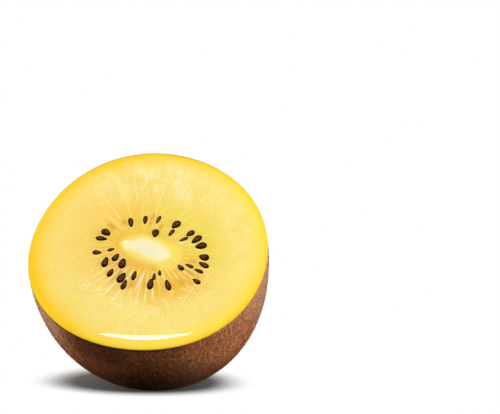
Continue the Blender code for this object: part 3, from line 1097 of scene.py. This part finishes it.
studio = {
    "floorHalf": 3.0,
    "floorDrop": 0.02 * mm,
    "ambient": 0.15,
    "mirrored": 0.42,        # the white studio as the wet face mirrors it
    "bounce": 0.10,          # what the floor throws back up
    "paper": (0.84, 0.94, 0.92, 1),
    # The floor washes out to white round the fruit's shadow, in millimetres.
    "shadowCentre": (-3.3, 4.0),
    "whiteFrom": 14.5,
    "whiteTo": 27.0,
    "whiteBehind": 1.2,      # how much sooner it is white behind and in front than at the sides
    "whiteInFront": 1.6,
    "haze": 0.035,           # how white it is in the deepest shadow
    "lights": (
        # direction to it, distance, size, radiance, and what it lights
        ((0.16, -0.42, 0.88), 1.2, (0.8, 0.8), 3.68, "all"),
        ((0.25, -0.42, 0.88), 1.2, (0.8, 0.8), 4.2, "floor"),
        ((-0.95, -0.20, 0.18), 0.9, (0.50, 0.45), 12.5, "fruit"),
        ((0.98, -0.14, 0.12), 0.9, (0.40, 0.50), 18.8, "fruit"),
    ),
    # The wet face mirrors a bright card as a crescent. Its middle line and half its height
    # are given where they are seen on the face, in millimetres.
    "card": ((-8.5, -22.45, 0.14), (-7.2, -22.65, 0.26), (-5.2, -22.88, 0.40),
             (-3.2, -23.05, 0.51), (-1.2, -23.17, 0.58), (1.0, -23.2, 0.60),
             (3.2, -23.08, 0.56), (5.5, -22.84, 0.46), (7.8, -22.5, 0.34),
             (9.9, -22.12, 0.22), (11.3, -21.8, 0.12)),
    "cardDistance": 0.9,
    "cardRadiance": 26.0,
}


def makeFloor():
    half = studio["floorHalf"]
    mesh = bpy.data.meshes.new("floor")
    corners = [(-half, -half, 0), (half, -half, 0), (half, half, 0), (-half, half, 0)]
    mesh.from_pydata(corners, [], [(0, 1, 2, 3)])
    made, start, place = startMaterial("floor_pale", tilted=False)
    x, y = splitAxes(place)[:2]
    centre = studio["shadowCentre"]
    depth = y - centre[1]
    depth = (depth * studio["whiteBehind"]).sum("MINIMUM", depth * studio["whiteInFront"])
    away = ((x - centre[0]) ** 2 + depth ** 2).sum("SQRT")
    wash = away.ramp(studio["whiteFrom"], studio["whiteTo"]).sum("MAXIMUM", studio["haze"])
    lit = start.node("ShaderNodeBsdfDiffuse", None, {"Color": studio["paper"]})
    white = start.node("ShaderNodeEmission", None, {"Color": (1, 1, 1, 1), "Strength": 1.0})
    seen = start.node("ShaderNodeMixShader", None, {0: wash, 1: lit, 2: white})
    bounce = studio["bounce"]
    bounced = start.node("ShaderNodeBsdfDiffuse", None, {"Color": (bounce, bounce, bounce, 1)})
    camera = start.node("ShaderNodeLightPath", None, None, "Is Camera Ray")
    shader = start.node("ShaderNodeMixShader", None, {0: camera, 1: bounced, 2: seen})
    mesh.materials.append(finishMaterial(made, shader))
    floor = bpy.data.objects.new("floor", mesh)
    floor.location.z = -studio["floorDrop"]
    bpy.context.scene.collection.objects.link(floor)
    return floor


def makeWorld():
    world = bpy.data.worlds.new("studio")
    world.use_nodes = True
    tree = world.node_tree
    tree.nodes.clear()
    start = Signal(tree)
    seen = start.node("ShaderNodeBackground", None, {"Color": (1, 1, 1, 1), "Strength": 1.0})
    glossy = start.node("ShaderNodeLightPath", None, None, "Is Glossy Ray")
    strength = glossy * (studio["mirrored"] - studio["ambient"]) + studio["ambient"]
    soft = start.node("ShaderNodeBackground", None, {"Color": (1, 1, 1, 1), "Strength": strength})
    camera = start.node("ShaderNodeLightPath", None, None, "Is Camera Ray")
    mixed = start.node("ShaderNodeMixShader", None, {0: camera, 1: soft, 2: seen})
    tree.links.new(mixed.socket, tree.nodes.new("ShaderNodeOutputWorld").inputs["Surface"])
    bpy.context.scene.world = world


def makeCard(camera):
    # Each point lies where the line of sight goes on to from the wet face.
    points = []
    for x, y, half in studio["card"]:
        for side in (half, -half):
            spot = Vector((x, y + side, 0)) * mm
            out = math.hypot(spot.x, spot.y / body["heightRatio"]) / rimRadius
            steep = body["domeHeight"] * body["domePower"] / rimRadius
            steep *= out ** (body["domePower"] - 1)
            normal = spot.normalized() * steep + Vector((0, 0, 1))
            spot.z = float(domeHeight(spot.x, spot.y))
            spot = faceFrame @ spot
            onward = (spot - camera.location).reflect(faceFrame.to_3x3() @ normal.normalized())
            points.append(spot + onward.normalized() * studio["cardDistance"])
    faces = [(i, i + 1, i + 3, i + 2) for i in range(0, len(points) - 2, 2)]
    mesh = bpy.data.meshes.new("card")
    mesh.from_pydata(points, [], faces)
    made, start, _ = startMaterial("card_white", tilted=False)
    glow = start.node("ShaderNodeEmission", None, {"Strength": studio["cardRadiance"]})
    mesh.materials.append(finishMaterial(made, glow))
    card = bpy.data.objects.new("card", mesh)
    card.visible_camera = False
    card.visible_diffuse = False
    card.visible_shadow = False
    bpy.context.scene.collection.objects.link(card)


def makeLights(floor):
    # The side lamps leave the floor alone, so that the shadow stays deep.
    linked = {}
    for name, state in (("floor", "INCLUDE"), ("fruit", "EXCLUDE")):
        linked[name] = bpy.data.collections.new("lit " + name)
        linked[name].objects.link(floor)
        linked[name].collection_objects[0].light_linking.link_state = state
    for direction, distance, size, radiance, lit in studio["lights"]:
        toLight = Vector(direction).normalized()
        data = bpy.data.lights.new("lamp", "AREA")
        data.shape = "RECTANGLE"
        data.size, data.size_y = size
        # an area light's power is pi times its area for each unit of radiance
        data.energy = radiance * math.pi * size[0] * size[1]
        light = bpy.data.objects.new("lamp", data)
        light.location = faceFrame.translation + toLight * distance
        light.rotation_mode = "QUATERNION"
        light.rotation_quaternion = toLight.to_track_quat("Z", "Y")
        # the wet face mirrors the card but no lamp
        light.visible_glossy = False
        light.light_linking.receiver_collection = linked.get(lit)
        bpy.context.scene.collection.objects.link(light)


floor = makeFloor()
makeWorld()
makeLights(floor)
makeCard(makeCamera())
bpy.context.scene.view_settings.view_transform = "Standard"
print("studio set up")
buildFlesh(fleshMaterial())
print("flesh built")
buildCore(coreMaterial())
buildSeeds(seedMaterial())
print("core and seeds built")
buildSkin(skinMaterial())
print("skin built")
buildDown(downMaterial())
print("down built")
